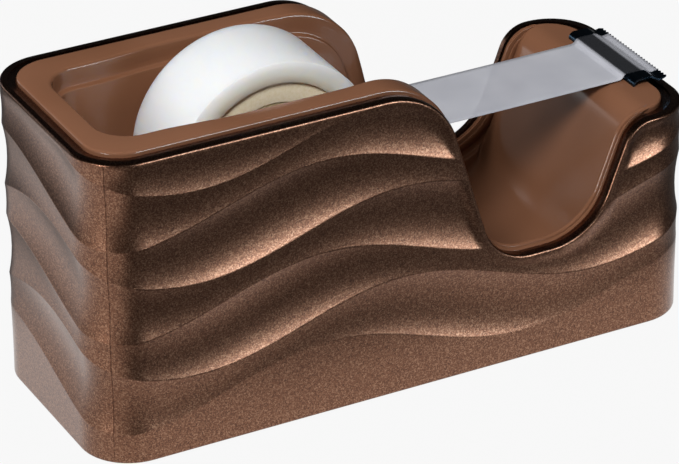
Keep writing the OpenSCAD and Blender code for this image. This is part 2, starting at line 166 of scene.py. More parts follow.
def outline():
    """Stations round the housing, from the near side's left end: stretch, share of it, place,
    outward way, distance from the near side's middle, share of the relief."""
    stations, travelled = [], -STRAIGHT_L
    sides = side_steps()
    for stretch in range(8):
        turned = stretch // 2
        angle0 = math.radians(90 * turned - 90)
        hinge = Vector((STRAIGHT_L if turned in (0, 1) else -STRAIGHT_L,
                        STRAIGHT_W if turned in (1, 2) else -STRAIGHT_W))
        if stretch % 2 == 0:
            out = Vector((math.cos(angle0), math.sin(angle0)))
            along = Vector((-out.y, out.x))
            run = 2 * (STRAIGHT_L if turned in (0, 2) else STRAIGHT_W)
            if turned == 0:
                shares = [(p + STRAIGHT_L) / run for p in sides]
            elif turned == 2:
                shares = [0.0] + [(STRAIGHT_L - p) / run for p in reversed(sides[1:])]
            else:
                shares = [i / END_STEPS for i in range(END_STEPS)]
            for t in shares:
                place = hinge + out * CORNER_R + along * run * (t - 1)
                stations.append((stretch, t, place, out, travelled + run * t, 1.0))
            travelled += run
        else:
            half = LINE_W / 2 / QUARTER
            line = [MOULD_LINE + offset for offset in (-half, -half / 3, half / 3, half)]
            shares = [i / CORNER_STEPS for i in range(CORNER_STEPS)]
            for t in sorted(shares + (line if stretch in LINE_CORNERS else [])):
                angle = angle0 + t * math.pi / 2
                out = Vector((math.cos(angle), math.sin(angle)))
                fade = 1 - CORNER_FADE * math.sin(math.pi * t) ** 2
                stations.append((stretch, t, hinge + out * CORNER_R, out,
                                 travelled + QUARTER * t, fade))
            travelled += QUARTER
    return stations, travelled + STRAIGHT_L


STATIONS, ROUND = outline()


def crest(k, s):
    """Height of a crest line, counted from the foot, at a distance round the housing."""
    start = ODD_X if k % 2 == 0 else EVEN_X
    swing = math.cos(2 * math.pi * WAVES * (s - start) / ROUND)
    return CREST_Z + k * CREST_PITCH + CREST_RISE * swing


def level(k, s):
    """Lower edge of a band of the relief: the foot, a crest line, or the rim above the last one."""
    if k == 0:
        return FOOT_Z + FOOT_ROUND
    if k > CREST_LINES:
        return RIM_Z
    return min(RIM_Z - ROW_GAP * (CREST_LINES + 1 - k), crest(k - 1, s))


def rim_width(stretch, t):
    """Width of the rim between the housing's edge and the liner's flange."""
    ends = {0: (RIM_SIDE, RIM_SIDE), 1: (RIM_SIDE, RIM_FRONT), 2: (RIM_FRONT, RIM_FRONT),
            3: (RIM_FRONT, RIM_SIDE), 4: (RIM_SIDE, RIM_SIDE), 5: (RIM_SIDE, RIM_BACK),
            6: (RIM_BACK, RIM_BACK), 7: (RIM_BACK, RIM_SIDE)}[stretch]
    swell = RIM_SWELL * math.sin(math.pi * t) if stretch % 2 else 0
    return blend(ends[0], ends[1], smooth(t)) + swell


# ---- Mesh helpers --------------------------------------------------------------------

SHARP_FROM = math.radians(40)


def finished(name, mesh_data, material, body, node):
    """A finished mesh becomes a smooth piece that rides on a body and stands for a CAD node."""
    mesh = bpy.data.meshes.new(name)
    mesh_data.to_mesh(mesh)
    mesh_data.free()
    for face in mesh.polygons:
        face.use_smooth = True
    mesh.set_sharp_from_angle(angle=SHARP_FROM)
    piece = bpy.data.objects.new(name, mesh)
    bpy.context.scene.collection.objects.link(piece)
    mesh.materials.append(material)
    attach(piece, body)
    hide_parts(node)
    return piece


def woven(columns):
    """A bmesh grid whose columns are laid on the given lists of points, closed round its seam."""
    across, rows = len(columns), len(columns[0])
    bm = bmesh.new()
    bmesh.ops.create_grid(bm, x_segments=across, y_segments=rows - 1, size=1.0)
    for v in bm.verts:
        i = round((v.co.x + 1) / 2 * across)
        j = round((v.co.y + 1) / 2 * (rows - 1))
        v.co = Vector(columns[i % across][j]) * MM
    bmesh.ops.remove_doubles(bm, verts=bm.verts, dist=2e-6)
    bmesh.ops.dissolve_degenerate(bm, edges=bm.edges, dist=1e-6)
    bmesh.ops.recalc_face_normals(bm, faces=bm.faces)
    return bm


# ---- Materials -----------------------------------------------------------------------


def linear(hex_colour):
    """An sRGB hex colour as linear red, green, blue and alpha."""
    parts = [int(hex_colour[i:i + 2], 16) / 255 for i in (1, 3, 5)]
    rgb = [p / 12.92 if p <= 0.04045 else ((p + 0.055) / 1.055) ** 2.4 for p in parts]
    return (*rgb, 1.0)


def add(tree, kind, wires=None, stops=(), **settings):
    """A new node with its settings, a value or a link on each named input, and stops of (place,
    sRGB hex) where it has a colour ramp."""
    made = tree.nodes.new(kind)
    for key, value in settings.items():
        setattr(made, key, value)
    for key, value in (wires or {}).items():
        if isinstance(value, bpy.types.NodeSocket):
            tree.links.new(value, made.inputs[key])
        else:
            made.inputs[key].default_value = value
    if stops:
        elements = made.color_ramp.elements
        for element, (place, colour) in zip(elements, (stops[0], stops[-1])):
            element.position, element.color = place, linear(colour)
        for place, colour in stops[1:-1]:
            elements.new(place).color = linear(colour)
    return made


def surface(name):
    """A new material with its node tree and its shader."""
    made = bpy.data.materials.new(name)
    made.use_nodes = True
    shader = made.node_tree.nodes["Principled BSDF"]
    return made, made.node_tree, shader


def per_mm(size):
    """Pattern scale on metre coordinates for a feature of that size in millimetres."""
    return 1.0 / (size * MM)


def bronze_lacquer():
    """Metallic lacquer sprayed on moulded ABS: a grain of flakes under a clear coat. The flakes are
    drawn 0.22 mm across, because real ones of 0.05 mm don't show."""
    made, tree, shader = surface("bronze_flake_lacquer")
    where = add(tree, "ShaderNodeTexCoord").outputs["Object"]
    flakes = add(tree, "ShaderNodeTexVoronoi", {"Vector": where, "Scale": per_mm(0.22)})
    cloud = add(tree, "ShaderNodeTexNoise", {"Vector": where, "Scale": per_mm(0.4), "Detail": 3.0})
    grain = add(tree, "ShaderNodeMix", {"Factor": 0.5, "A": cloud.outputs["Fac"],
                                        "B": flakes.outputs["Color"]}, data_type="FLOAT")
    colour = add(tree, "ShaderNodeValToRGB", {"Fac": grain.outputs["Result"]},
                 stops=[(0.2, "#48291a"), (0.5, "#714933"), (0.85, "#a98166")])
    tree.links.new(colour.outputs["Color"], shader.inputs["Base Color"])
    bump = add(tree, "ShaderNodeBump", {"Height": grain.outputs["Result"], "Strength": 0.35,
                                        "Distance": 0.00005})
    tree.links.new(bump.outputs["Normal"], shader.inputs["Normal"])
    shader.inputs["Metallic"].default_value = 1.0
    shader.inputs["Roughness"].default_value = 0.3
    shader.inputs["Coat Weight"].default_value = 0.45
    shader.inputs["Coat Roughness"].default_value = 0.3
    return made


def brown_moulding():
    """Moulded ABS from a polished tool: milk-chocolate brown, deep gloss and a faint waviness."""
    made, tree, shader = surface("polished_brown_abs")
    where = add(tree, "ShaderNodeTexCoord").outputs["Object"]
    shade = add(tree, "ShaderNodeTexNoise", {"Vector": where, "Scale": per_mm(30), "Detail": 2.0})
    colour = add(tree, "ShaderNodeValToRGB", {"Fac": shade.outputs["Fac"]},
                 stops=[(0.3, "#7f553d"), (0.7, "#895e46")])
    tree.links.new(colour.outputs["Color"], shader.inputs["Base Color"])
    ripple = add(tree, "ShaderNodeTexNoise", {"Vector": where, "Scale": per_mm(9), "Detail": 1.0})
    bump = add(tree, "ShaderNodeBump", {"Height": ripple.outputs["Fac"], "Strength": 0.05,
                                        "Distance": 0.0002})
    tree.links.new(bump.outputs["Normal"], shader.inputs["Normal"])
    shader.inputs["Roughness"].default_value = 0.18
    shader.inputs["IOR"].default_value = 1.5
    return made


def rolled_steel():
    """Hardened strip steel, rolled and blanked: blue-grey, with fine grinding lines along the
    blade."""
    made, tree, shader = surface("rolled_blade_steel")
    where = add(tree, "ShaderNodeTexCoord").outputs["Object"]
    stretched = add(tree, "ShaderNodeMapping", {"Vector": where, "Scale": (1.0, 0.04, 1.0)})
    lines = add(tree, "ShaderNodeTexNoise", {"Vector": stretched.outputs["Vector"],
                                             "Scale": per_mm(0.15), "Detail": 2.0})
    colour = add(tree, "ShaderNodeValToRGB", {"Fac": lines.outputs["Fac"]},
                 stops=[(0.3, "#2a3f52"), (0.7, "#4a6074")])
    tree.links.new(colour.outputs["Color"], shader.inputs["Base Color"])
    bump = add(tree, "ShaderNodeBump", {"Height": lines.outputs["Fac"], "Strength": 0.1,
                                        "Distance": 0.00003})
    tree.links.new(bump.outputs["Normal"], shader.inputs["Normal"])
    shader.inputs["Metallic"].default_value = 1.0
    shader.inputs["Roughness"].default_value = 0.2
    return made


def wound_film():
    """Matt acetate film wound on its core: white at the rim and cream near the core, with rings
    drawn 0.3 mm apart for layers of 0.05 mm."""
    made, tree, shader = surface("wound_matt_film")
    where = add(tree, "ShaderNodeTexCoord").outputs["Object"]
    centred = add(tree, "ShaderNodeMapping",
                  {"Vector": where, "Location": (-AXLE[0] * MM, 0, -AXLE[1] * MM)})
    flat = add(tree, "ShaderNodeVectorMath", {0: centred.outputs["Vector"], 1: (1.0, 0.0, 1.0)},
               operation="MULTIPLY")
    radius = add(tree, "ShaderNodeVectorMath", {0: flat.outputs["Vector"]}, operation="LENGTH")
    share = add(tree, "ShaderNodeMapRange", {"Value": radius.outputs["Value"],
                                             "From Min": CORE_R * MM, "From Max": ROLL_R * MM})
    colour = add(tree, "ShaderNodeValToRGB", {"Fac": share.outputs["Result"]},
                 stops=[(0.0, "#f0dfc6"), (0.4, "#faf4e8"), (1.0, "#fcfbf8")])
    tree.links.new(colour.outputs["Color"], shader.inputs["Base Color"])
    rings = add(tree, "ShaderNodeMath", {0: radius.outputs["Value"], 1: 2 * math.pi / (0.3 * MM)},
                operation="MULTIPLY")
    wave = add(tree, "ShaderNodeMath", {0: rings.outputs["Value"]}, operation="SINE")
    bump = add(tree, "ShaderNodeBump", {"Height": wave.outputs["Value"], "Strength": 0.08,
                                        "Distance": 0.00003})
    tree.links.new(bump.outputs["Normal"], shader.inputs["Normal"])
    shader.inputs["Roughness"].default_value = 0.45
    shader.inputs["Subsurface Weight"].default_value = 0.9
    shader.inputs["Subsurface Scale"].default_value = 1.0
    shader.inputs["Subsurface Radius"].default_value = (0.006, 0.005, 0.004)
    return made


def free_film():
    """The free strip of matt acetate film: thin, bluish grey and slightly see-through, and clear
    where it sticks to the blade."""
    made, tree, shader = surface("matt_acetate_strip")
    where = add(tree, "ShaderNodeTexCoord").outputs["Object"]
    haze = add(tree, "ShaderNodeTexNoise", {"Vector": where, "Scale": per_mm(14), "Detail": 2.0})
    colour = add(tree, "ShaderNodeValToRGB", {"Fac": haze.outputs["Fac"]},
                 stops=[(0.3, "#c0c1ca"), (0.7, "#d3d4db")])
    tree.links.new(colour.outputs["Color"], shader.inputs["Base Color"])
    shader.inputs["Roughness"].default_value = 0.3
    along = add(tree, "ShaderNodeSeparateXYZ", {"Vector": where})
    share = add(tree, "ShaderNodeMapRange", {"Value": along.outputs["X"],
                                             "From Min": (BLADE_BACK - 2.0) * MM,
                                             "From Max": HALF_L * MM})
    cover = add(tree, "ShaderNodeValToRGB", {"Fac": share.outputs["Result"]},
                stops=[(0.16, "#e6e6e6"), (0.22, "#2a2a2a"), (0.56, "#2a2a2a"), (0.66, "#d6d6d6")])
    tree.links.new(cover.outputs["Color"], shader.inputs["Alpha"])
    return made


def grained(name, low, high, size, roughness, strength, metallic=0.0):
    """A plain finish with a fine grain of that size in millimetres between two close colours."""
    made, tree, shader = surface(name)
    where = add(tree, "ShaderNodeTexCoord").outputs["Object"]
    grain = add(tree, "ShaderNodeTexNoise", {"Vector": where, "Scale": per_mm(size), "Detail": 4.0})
    colour = add(tree, "ShaderNodeValToRGB", {"Fac": grain.outputs["Fac"]},
                 stops=[(0.3, low), (0.7, high)])
    tree.links.new(colour.outputs["Color"], shader.inputs["Base Color"])
    bump = add(tree, "ShaderNodeBump", {"Height": grain.outputs["Fac"], "Strength": strength,
                                        "Distance": 0.0001})
    tree.links.new(bump.outputs["Normal"], shader.inputs["Normal"])
    shader.inputs["Roughness"].default_value = roughness
    shader.inputs["Metallic"].default_value = metallic
    return made


lacquer, brown, steel, film, strip_film = (bronze_lacquer(), brown_moulding(), rolled_steel(),
                                           wound_film(), free_film())
board = grained("pressed_core_board", "#f6e8c4", "#fff4da", 0.5, 0.7, 0.2)
hub_plastic = grained("moulded_hub_polystyrene", "#b09d76", "#bdab86", 1.2, 0.42, 0.05)
pin_plastic = grained("turned_pin_acetal", "#6b402b", "#774a34", 1.0, 0.35, 0.03)
plate_plastic = grained("textured_base_abs", "#241d1a", "#2f2622", 0.6, 0.55, 0.3)
pad_foam = grained("matt_pad_rubber", "#161616", "#202020", 0.4, 0.9, 0.4)
zinc = grained("zinc_plated_steel", "#a6a9ad", "#bfc2c6", 0.3, 0.35, 0.1, 1.0)
iron = grained("sand_cast_iron", "#38383b", "#4a4a4d", 0.8, 0.75, 0.6, 0.6)

for node_name, finish in {"axle_pin": pin_plastic, "hub_wheel": hub_plastic,
                          "base_plate": plate_plastic, "base_pad": pad_foam,
                          "base_screws": zinc, "ballast_block": iron}.items():
    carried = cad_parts[node_name]
    carried.data.materials.clear()
    carried.data.materials.append(finish)


# ---- Housing -------------------------------------------------------------------------


def raised(place, out, up, inward, lift):
    """A point on the rim: inward from the edge and lifted square to the rim's side view."""
    x, y = place.x - out.x * inward, place.y - out.y * inward
    return (x + up.x * (lift + RIM_ROUND), y, up.y * (lift + RIM_ROUND))


# Heights of a band's rows as shares of the band, closer together at its two crests
SCALLOP_ROWS = (0.0, 0.02, 0.07, 0.15, 0.27, 0.42, 0.58, 0.73, 0.85, 0.93, 0.98)
# Step of the rim's band with its edges broken: inward from the step, and lift
BAND_SECTION = ((-0.12, 0.0), (0.0, -0.12), (0.0, 0.08 - BAND_STEP), (0.1, -BAND_STEP))


def shell_column(station):
    """One cut through the housing's wall: inner foot, relief, rim, step in its band, way back."""
    stretch, t, place, out, s, fade = station
    base, up = height(SADDLE, place.x, -RIM_ROUND)
    in_line = stretch in LINE_CORNERS and abs(t - MOULD_LINE) < LINE_W / 4 / QUARTER
    groove = LINE_D if in_line else 0.0

    def at(inward, z):
        return (place.x - out.x * inward, place.y - out.y * inward, z)

    def rim(inward, lift):
        x, y, dz = raised(place, out, up, inward, lift)
        return (x, y, base + dz)

    column = [at(WALL_T, FOOT_Z)]
    for i in range(4):
        a = math.radians(30 * i)
        column.append(at(FOOT_ROUND * (1 - math.sin(a)), FOOT_Z + FOOT_ROUND * (1 - math.cos(a))))
    for k in range(CREST_LINES + 1):
        low, gap = level(k, s), level(k + 1, s) - level(k, s)
        share = SCALLOP * fade * (FOOT_SHARE if k == 0 else gap / CREST_PITCH)
        for u in SCALLOP_ROWS[1 if k == 0 else 0:]:
            z = low + gap * u
            if z > base - ROW_JOIN:
                column.append(at(0, base))
            else:
                near_rim = smooth((base - z) * up.y / RIM_FADE)
                column.append(at(4 * u * (1 - u) * gap * share * near_rim + groove, z))
    for i in range(5):
        a = math.radians(22.5 * i)
        column.append(rim(RIM_ROUND * (1 - math.cos(a)), RIM_ROUND * (math.sin(a) - 1)))
    width = rim_width(stretch, t)
    band = width - INNER_BAND
    column += [rim(band + inward, lift) for inward, lift in BAND_SECTION]
    column += [rim(width - TIP_BREAK, -BAND_STEP), rim(width, -BAND_STEP - TIP_BREAK),
               rim(width, -LIP_T), rim(WALL_T, -LIP_T), at(WALL_T, FOOT_Z)]
    return column


finished("wave_housing", woven([shell_column(st) for st in STATIONS]), lacquer, "housing",
         "outer_shell")


# ---- Liner ---------------------------------------------------------------------------


def end_walk(half_end, radius, share):
    """A way from the middle of an end round its corner: sideways, inward, and the turn so far."""
    total = half_end + math.pi * radius / 2
    way = share * total
    if way < half_end:
        return way, 0.0, 0.0
    turn = (way - half_end) / radius
    return half_end + radius * math.sin(turn), radius * (1 - math.cos(turn)), turn


def hollow_edge(stretch, place, x_wall):
    """The well's outline opposite a station, its inward way, and the point its floor runs to. The
    stations of each end are shared out evenly along that end's own rounded outline."""
    back_middle, front_middle = WELL_X + WELL_CORNER, FRONT_X - FRONT_CORNER
    sign = 1 if place.y > 0 else -1
    if back_middle <= place.x <= front_middle:
        wide, across = height(WELL_SIDE, x_wall)
        return (Vector((x_wall, sign * wide)), Vector((-across.x, -sign * across.y)),
                Vector((x_wall, 0.0)))
    back = place.x < 0
    middle = back_middle if back else front_middle
    side_part = STRAIGHT_L - abs(middle)
    if stretch in (2, 6):
        walked = abs(place.y)
    elif stretch % 2:
        walked = STRAIGHT_W + CORNER_R * math.atan2(abs(place.y) - STRAIGHT_W,
                                                    abs(place.x) - STRAIGHT_L)
    else:
        walked = STRAIGHT_W + QUARTER + STRAIGHT_L - abs(place.x)
    share = walked / (STRAIGHT_W + QUARTER + side_part)
    radius, wide = (WELL_CORNER, WELL_HALF_W) if back else (FRONT_CORNER, DIP_HALF_W)
    sideways, inward, turn = end_walk(wide - radius, radius, share)
    way = 1 if back else -1
    edge = Vector((WELL_X + inward if back else FRONT_X - inward, sign * sideways))
    return edge, Vector((way * math.cos(turn), -sign * math.sin(turn))), Vector((middle, 0.0))


def liner_column(station):
    """One cut through the liner: flange, well edge, wall, ledge, lower wall, floor to the middle.
    Each rounding is kept smaller than the wall or the flange that it ends."""
    stretch, t, place, out = station[:4]
    base, up = height(SADDLE, place.x, -RIM_ROUND)
    width = rim_width(stretch, t) + LINER_GAP

    def rim(inward, lift):
        x, y, dz = raised(place, out, up, inward, lift)
        return Vector((x, y, base + dz))

    column = [rim(width, -LIP_T), rim(width, -BAND_STEP)]
    for i in range(6):
        a = math.radians(18 * i)
        column.append(rim(width + FLANGE_ROUND * (1 - math.cos(a)),
                          PROUD - FLANGE_ROUND * (1 - math.sin(a))))
    edge, inward, middle = hollow_edge(stretch, place, place.x + up.x * (PROUD + RIM_ROUND))
    top_z, flange_end = column[-1].z, column[-1].to_2d()
    floor_z = height(FLOOR, edge.x)[0]
    round_r = min(WELL_ROUND, 0.4 * (edge - flange_end).length, 0.45 * max(top_z - floor_z, 0.0))
    start = edge - inward * round_r
    for share in (0.5, 1.0):
        column.append(flange_end.lerp(start, share).to_3d() + Vector((0, 0, top_z)))
    for i in range(1, 6):
        a = math.radians(18 * i)
        p = start + inward * round_r * math.sin(a)
        column.append(Vector((p.x, p.y, top_z - round_r * (1 - math.cos(a)))))
    wall_top = top_z - round_r
    ledge_z = min(height(SADDLE, edge.x, -LEDGE_DROP)[0], wall_top - LEDGE_CLEAR)
    groove = abs(edge.x - AXLE[0]) < GROOVE_W / 2
    ledge_w = 0.0 if groove else LEDGE_W * smooth((ledge_z - floor_z - LEDGE_END) / LEDGE_RUN_OUT)
    lip_r = min(LEDGE_ROUND, ledge_w / 3)
    ledge_z = max(ledge_z, floor_z)
    for i in range(1, 4):
        column.append(Vector((edge.x, edge.y, blend(wall_top, ledge_z + lip_r, i / 3))))
    for i in range(1, 4):
        a = math.radians(30 * i)
        p = edge + inward * lip_r * (1 - math.cos(a))
        column.append(Vector((p.x, p.y, ledge_z + lip_r * (1 - math.sin(a)))))
    lower = edge + inward * ledge_w
    for i in range(4):
        a = math.radians(30 * i)
        p = lower - inward * lip_r * (1 - math.sin(a))
        column.append(Vector((p.x, p.y, ledge_z - lip_r * (1 - math.cos(a)))))
    floor_z = height(FLOOR, lower.x)[0]
    back_end = stretch in (5, 6, 7) and abs(inward.x) > 0.3
    floor_r = min(BACK_ROUND if back_end else FLOOR_ROUND, 0.5 * max(column[-1].z - floor_z, 0.0))
    low_top = column[-1].z
    for i in range(1, 7):
        column.append(Vector((lower.x, lower.y, blend(low_top, floor_z + floor_r, i / 6))))
    reach = (middle - lower).length
    for i in range(1, 5):
        a = math.radians(22.5 * i)
        p = lower + inward * min(floor_r * (1 - math.cos(a)), reach)
        column.append(Vector((p.x, p.y, height(FLOOR, p.x)[0] + floor_r * (1 - math.sin(a)))))
    foot = column[-1].to_2d()
    for i in range(1, 15):
        p = foot.lerp(middle, i / 14)
        column.append(Vector((p.x, p.y, height(FLOOR, p.x)[0])))
    return column


liner_mesh = woven([liner_column(st) for st in STATIONS])
if sum(f.normal.z * f.calc_area() for f in liner_mesh.faces) < 0:
    bmesh.ops.reverse_faces(liner_mesh, faces=liner_mesh.faces)
# Cradles fill the grooves under the axle pin, with a half-round bed for it
CRADLE_PROUD = 0.02
half_groove = GROOVE_W / 2
bed = [math.radians(-12 * i) for i in range(16)]
cradle = [(-half_groove, -GROOVE_FOOT), (half_groove, -GROOVE_FOOT)]
cradle += [(half_groove * math.cos(a), half_groove * math.sin(a)) for a in bed]
for side in (-1, 1):
    face_y = side * (WELL_HALF_W + BOW - LEDGE_W) - side * CRADLE_PROUD
    corners = [Vector((AXLE[0] + x, face_y, AXLE[1] + z)) * MM for x, z in cradle]
    cap = liner_mesh.faces.new([liner_mesh.verts.new(corner) for corner in corners])
    grown = bmesh.ops.extrude_face_region(liner_mesh, geom=[cap], use_keep_orig=True)
    bmesh.ops.translate(liner_mesh, vec=Vector((0, side * LEDGE_W * MM, 0)),
                        verts=[g for g in grown["geom"] if isinstance(g, bmesh.types.BMVert)])
liner = finished("glossy_liner", liner_mesh, brown, "housing", "inner_liner")
wall = liner.modifiers.new("wall", "SOLIDIFY")
wall.thickness, wall.offset = LINER_T * MM, -1.0


# ---- Roll, core and strip ------------------------------------------------------------


def turned_ring(name, section, material, body, node):
    """A ring spun round the axle from its section of (radius, sideways) points."""
    bm = bmesh.new()
    rim_verts = [bm.verts.new(Vector((AXLE[0] + r, y, AXLE[1])) * MM) for r, y in section]
    edges = [bm.edges.new((a, b)) for a, b in zip(rim_verts, rim_verts[1:] + rim_verts[:1])]
    bmesh.ops.spin(bm, geom=rim_verts + edges, cent=Vector((AXLE[0], 0, AXLE[1])) * MM,
                   axis=(0, 1, 0), angle=2 * math.pi, steps=RING_STEPS, use_merge=True)
    bmesh.ops.remove_doubles(bm, verts=bm.verts, dist=1e-6)
    bmesh.ops.recalc_face_normals(bm, faces=bm.faces)
    return finished(name, bm, material, body, node)


def rounded_section(inner, outer, half, round_r):
    """The section of a ring between two radii, with rounded edges."""
    points = []
    out, back, up = outer - round_r, inner + round_r, half - round_r
    for cx, cy, start in ((out, up, 0), (back, up, 90), (back, -up, 180), (out, -up, 270)):
        for i in range(4):
            a = math.radians(start + 30 * i)
            points.append((cx + round_r * math.cos(a), cy + round_r * math.sin(a)))
    return points


turned_ring("wound_tape", rounded_section(CORE_R + CORE_GAP, ROLL_R, TAPE_W / 2, ROLL_ROUND), film,
            "roll", "tape_roll")
turned_ring("core_ring", rounded_section(HUB_R, CORE_R, TAPE_W / 2 - CORE_RECESS, CORE_ROUND),
            board, "roll", "tape_core")


# ---- Blade and free strip ------------------------------------------------------------

BLADE_W, BLADE_T, BLADE_LEG, TOOTH_PITCH, TOOTH_D = 25.5, 0.4, 1.8, 1.02, 0.8
# Side views of the blade, an arch with a lip past the housing's end, and of the strip over it
ARCH_W, ARCH_FALL, ARCH_Z, REACH = 4.4, 1.6, PLATFORM_Z + 1.45, 0.05
LIP_Z, LIP_RISE = PLATFORM_Z + BLADE_T + 0.05, 0.25
BLADE_SIDE = [(BLADE_BACK, PLATFORM_Z - BLADE_LEG), (BLADE_BACK, ARCH_Z, 1.3),
              (BLADE_BACK + ARCH_W, ARCH_Z, 1.4), (BLADE_BACK + ARCH_W + ARCH_FALL, LIP_Z, 0.9),
              (HALF_L + REACH, LIP_Z + LIP_RISE)]
FILM_T, FILM_GAP, LEAD_R, STRIP_Z = 0.08, 0.02, 3.8, PLATFORM_Z + 0.35
FILM_ROWS, SLACK, SLACK_END, SLACK_RUN = 16, 0.25, 1.0, 55.0
LEAD_X = AXLE[0] + ROLL_R + 0.3
STRIP_SIDE = [(LEAD_X, STRIP_Z + LEAD_R + 0.3), (LEAD_X, STRIP_Z, LEAD_R),
              (BLADE_BACK - 0.8, STRIP_Z, 1.2), (BLADE_BACK, ARCH_Z + FILM_GAP, 1.0),
              (BLADE_BACK + ARCH_W, ARCH_Z + FILM_GAP, 1.4),
              (BLADE_BACK + ARCH_W + ARCH_FALL, LIP_Z + FILM_GAP, 0.9),
              (HALF_L + REACH - TOOTH_D / 2, LIP_Z + LIP_RISE + FILM_GAP)]


def side_points(corners, lift):
    """Points along a side view with rounded corners, moved left by lift."""
    rounded = bends(corners)
    first, last = rounded[0][3], rounded[-1][4]
    points = [Vector(corners[0][:2]) + Vector((-first.y, first.x)) * lift]
    for middle, r, side, into, out in rounded:
        spoke = Vector((-into.y, into.x)) * side * (side * lift - r)
        turn = side * into.angle(out)
        points += [middle + Matrix.Rotation(turn * i / 6, 2) @ spoke for i in range(7)]
    return points + [Vector(corners[-1][:2]) + Vector((-last.y, last.x)) * lift]


def divided(points, step):
    """The same line of points with no stretch longer than the step."""
    finer = [points[0]]
    for a, b in zip(points, points[1:]):
        parts = max(1, math.ceil((b - a).length / step))
        finer += [a.lerp(b, i / parts) for i in range(1, parts + 1)]
    return finer


def ribbon(line, wide, rows, shape):
    """A bmesh band along a side view. For a point's x and its numbers along and across, shape says
    how far it moves in x and z."""
    bm = bmesh.new()
    bmesh.ops.create_grid(bm, x_segments=len(line) - 1, y_segments=rows, size=1.0)
    for v in bm.verts:
        i, j = round((v.co.x + 1) / 2 * (len(line) - 1)), round((v.co.y + 1) / 2 * rows)
        dx, dz = shape(line[i].x, i, j)
        v.co = Vector((line[i].x + dx, (j / rows - 0.5) * wide, line[i].y + dz)) * MM
    return bm


def film_shape(x, i, j):
    """A little slack between the roll and the blade, and edges that hang slightly lower."""
    free = min(max((BLADE_BACK - SLACK_END - x) / SLACK_RUN, 0.0), 1.0)
    across = 2 * j / FILM_ROWS - 1
    return 0.0, SLACK * math.sin(math.pi * free) * (0.5 - across * across)


film_line = divided(side_points(STRIP_SIDE, 0.0), 1.0)
strip = finished("free_tape_strip", ribbon(film_line, TAPE_W, FILM_ROWS, film_shape), strip_film,
                 "housing", "tape_lead")
film_wall = strip.modifiers.new("film", "SOLIDIFY")
film_wall.thickness, film_wall.offset = FILM_T * MM, 1.0

teeth = int(BLADE_W / TOOTH_PITCH)
blade_line = side_points(BLADE_SIDE, 0.0) + side_points(BLADE_SIDE, -BLADE_T)[::-1]
tips = (len(blade_line) // 2 - 1, len(blade_line) // 2)
blade = ribbon(blade_line + blade_line[:1], BLADE_W, 2 * teeth,
               lambda x, i, j: (-TOOTH_D if i in tips and j % 2 == 0 else 0.0, 0.0))
bmesh.ops.remove_doubles(blade, verts=blade.verts, dist=1e-6)
bmesh.ops.holes_fill(blade, edges=[e for e in blade.edges if e.is_boundary], sides=0)
bmesh.ops.triangulate(blade, faces=[f for f in blade.faces if len(f.verts) > 4])
bmesh.ops.recalc_face_normals(blade, faces=blade.faces)
finished("toothed_blade", blade, steel, "housing", "cutter_blade")


# ---- Stage ---------------------------------------------------------------------------

# Strengths of the world in gloss and as fill light
SKY_GLOSS, SKY_FILL = 0.02, 0.14
# Painted pool of white light on the floor, seen only in gloss: full and gone at these distances
# from
# # the housing, with this share left over; to the left of the housing it starts again, and reaches
# # these distances to each side
POOL_FULL, POOL_GONE, POOL_LEFT_OVER = 10.0, 34.0, 0.02
LEFT_GONE, LEFT_FULL = 2.0, 30.0
ASIDE_FULL, ASIDE_GONE = 85.0, 140.0
FLOOR_SIZE, FLOOR_SEEN = 4.0, 0.93


def light_paths(tree):
    """Light path outputs, each 0 or 1: what the camera or glass sees, and what gloss sees."""
    rays = add(tree, "ShaderNodeLightPath")
    seen = add(tree, "ShaderNodeMath", {0: rays.outputs["Is Camera Ray"],
                                        1: rays.outputs["Is Transmission Ray"]},
               operation="MAXIMUM")
    return seen.outputs["Value"], rays.outputs["Is Glossy Ray"]


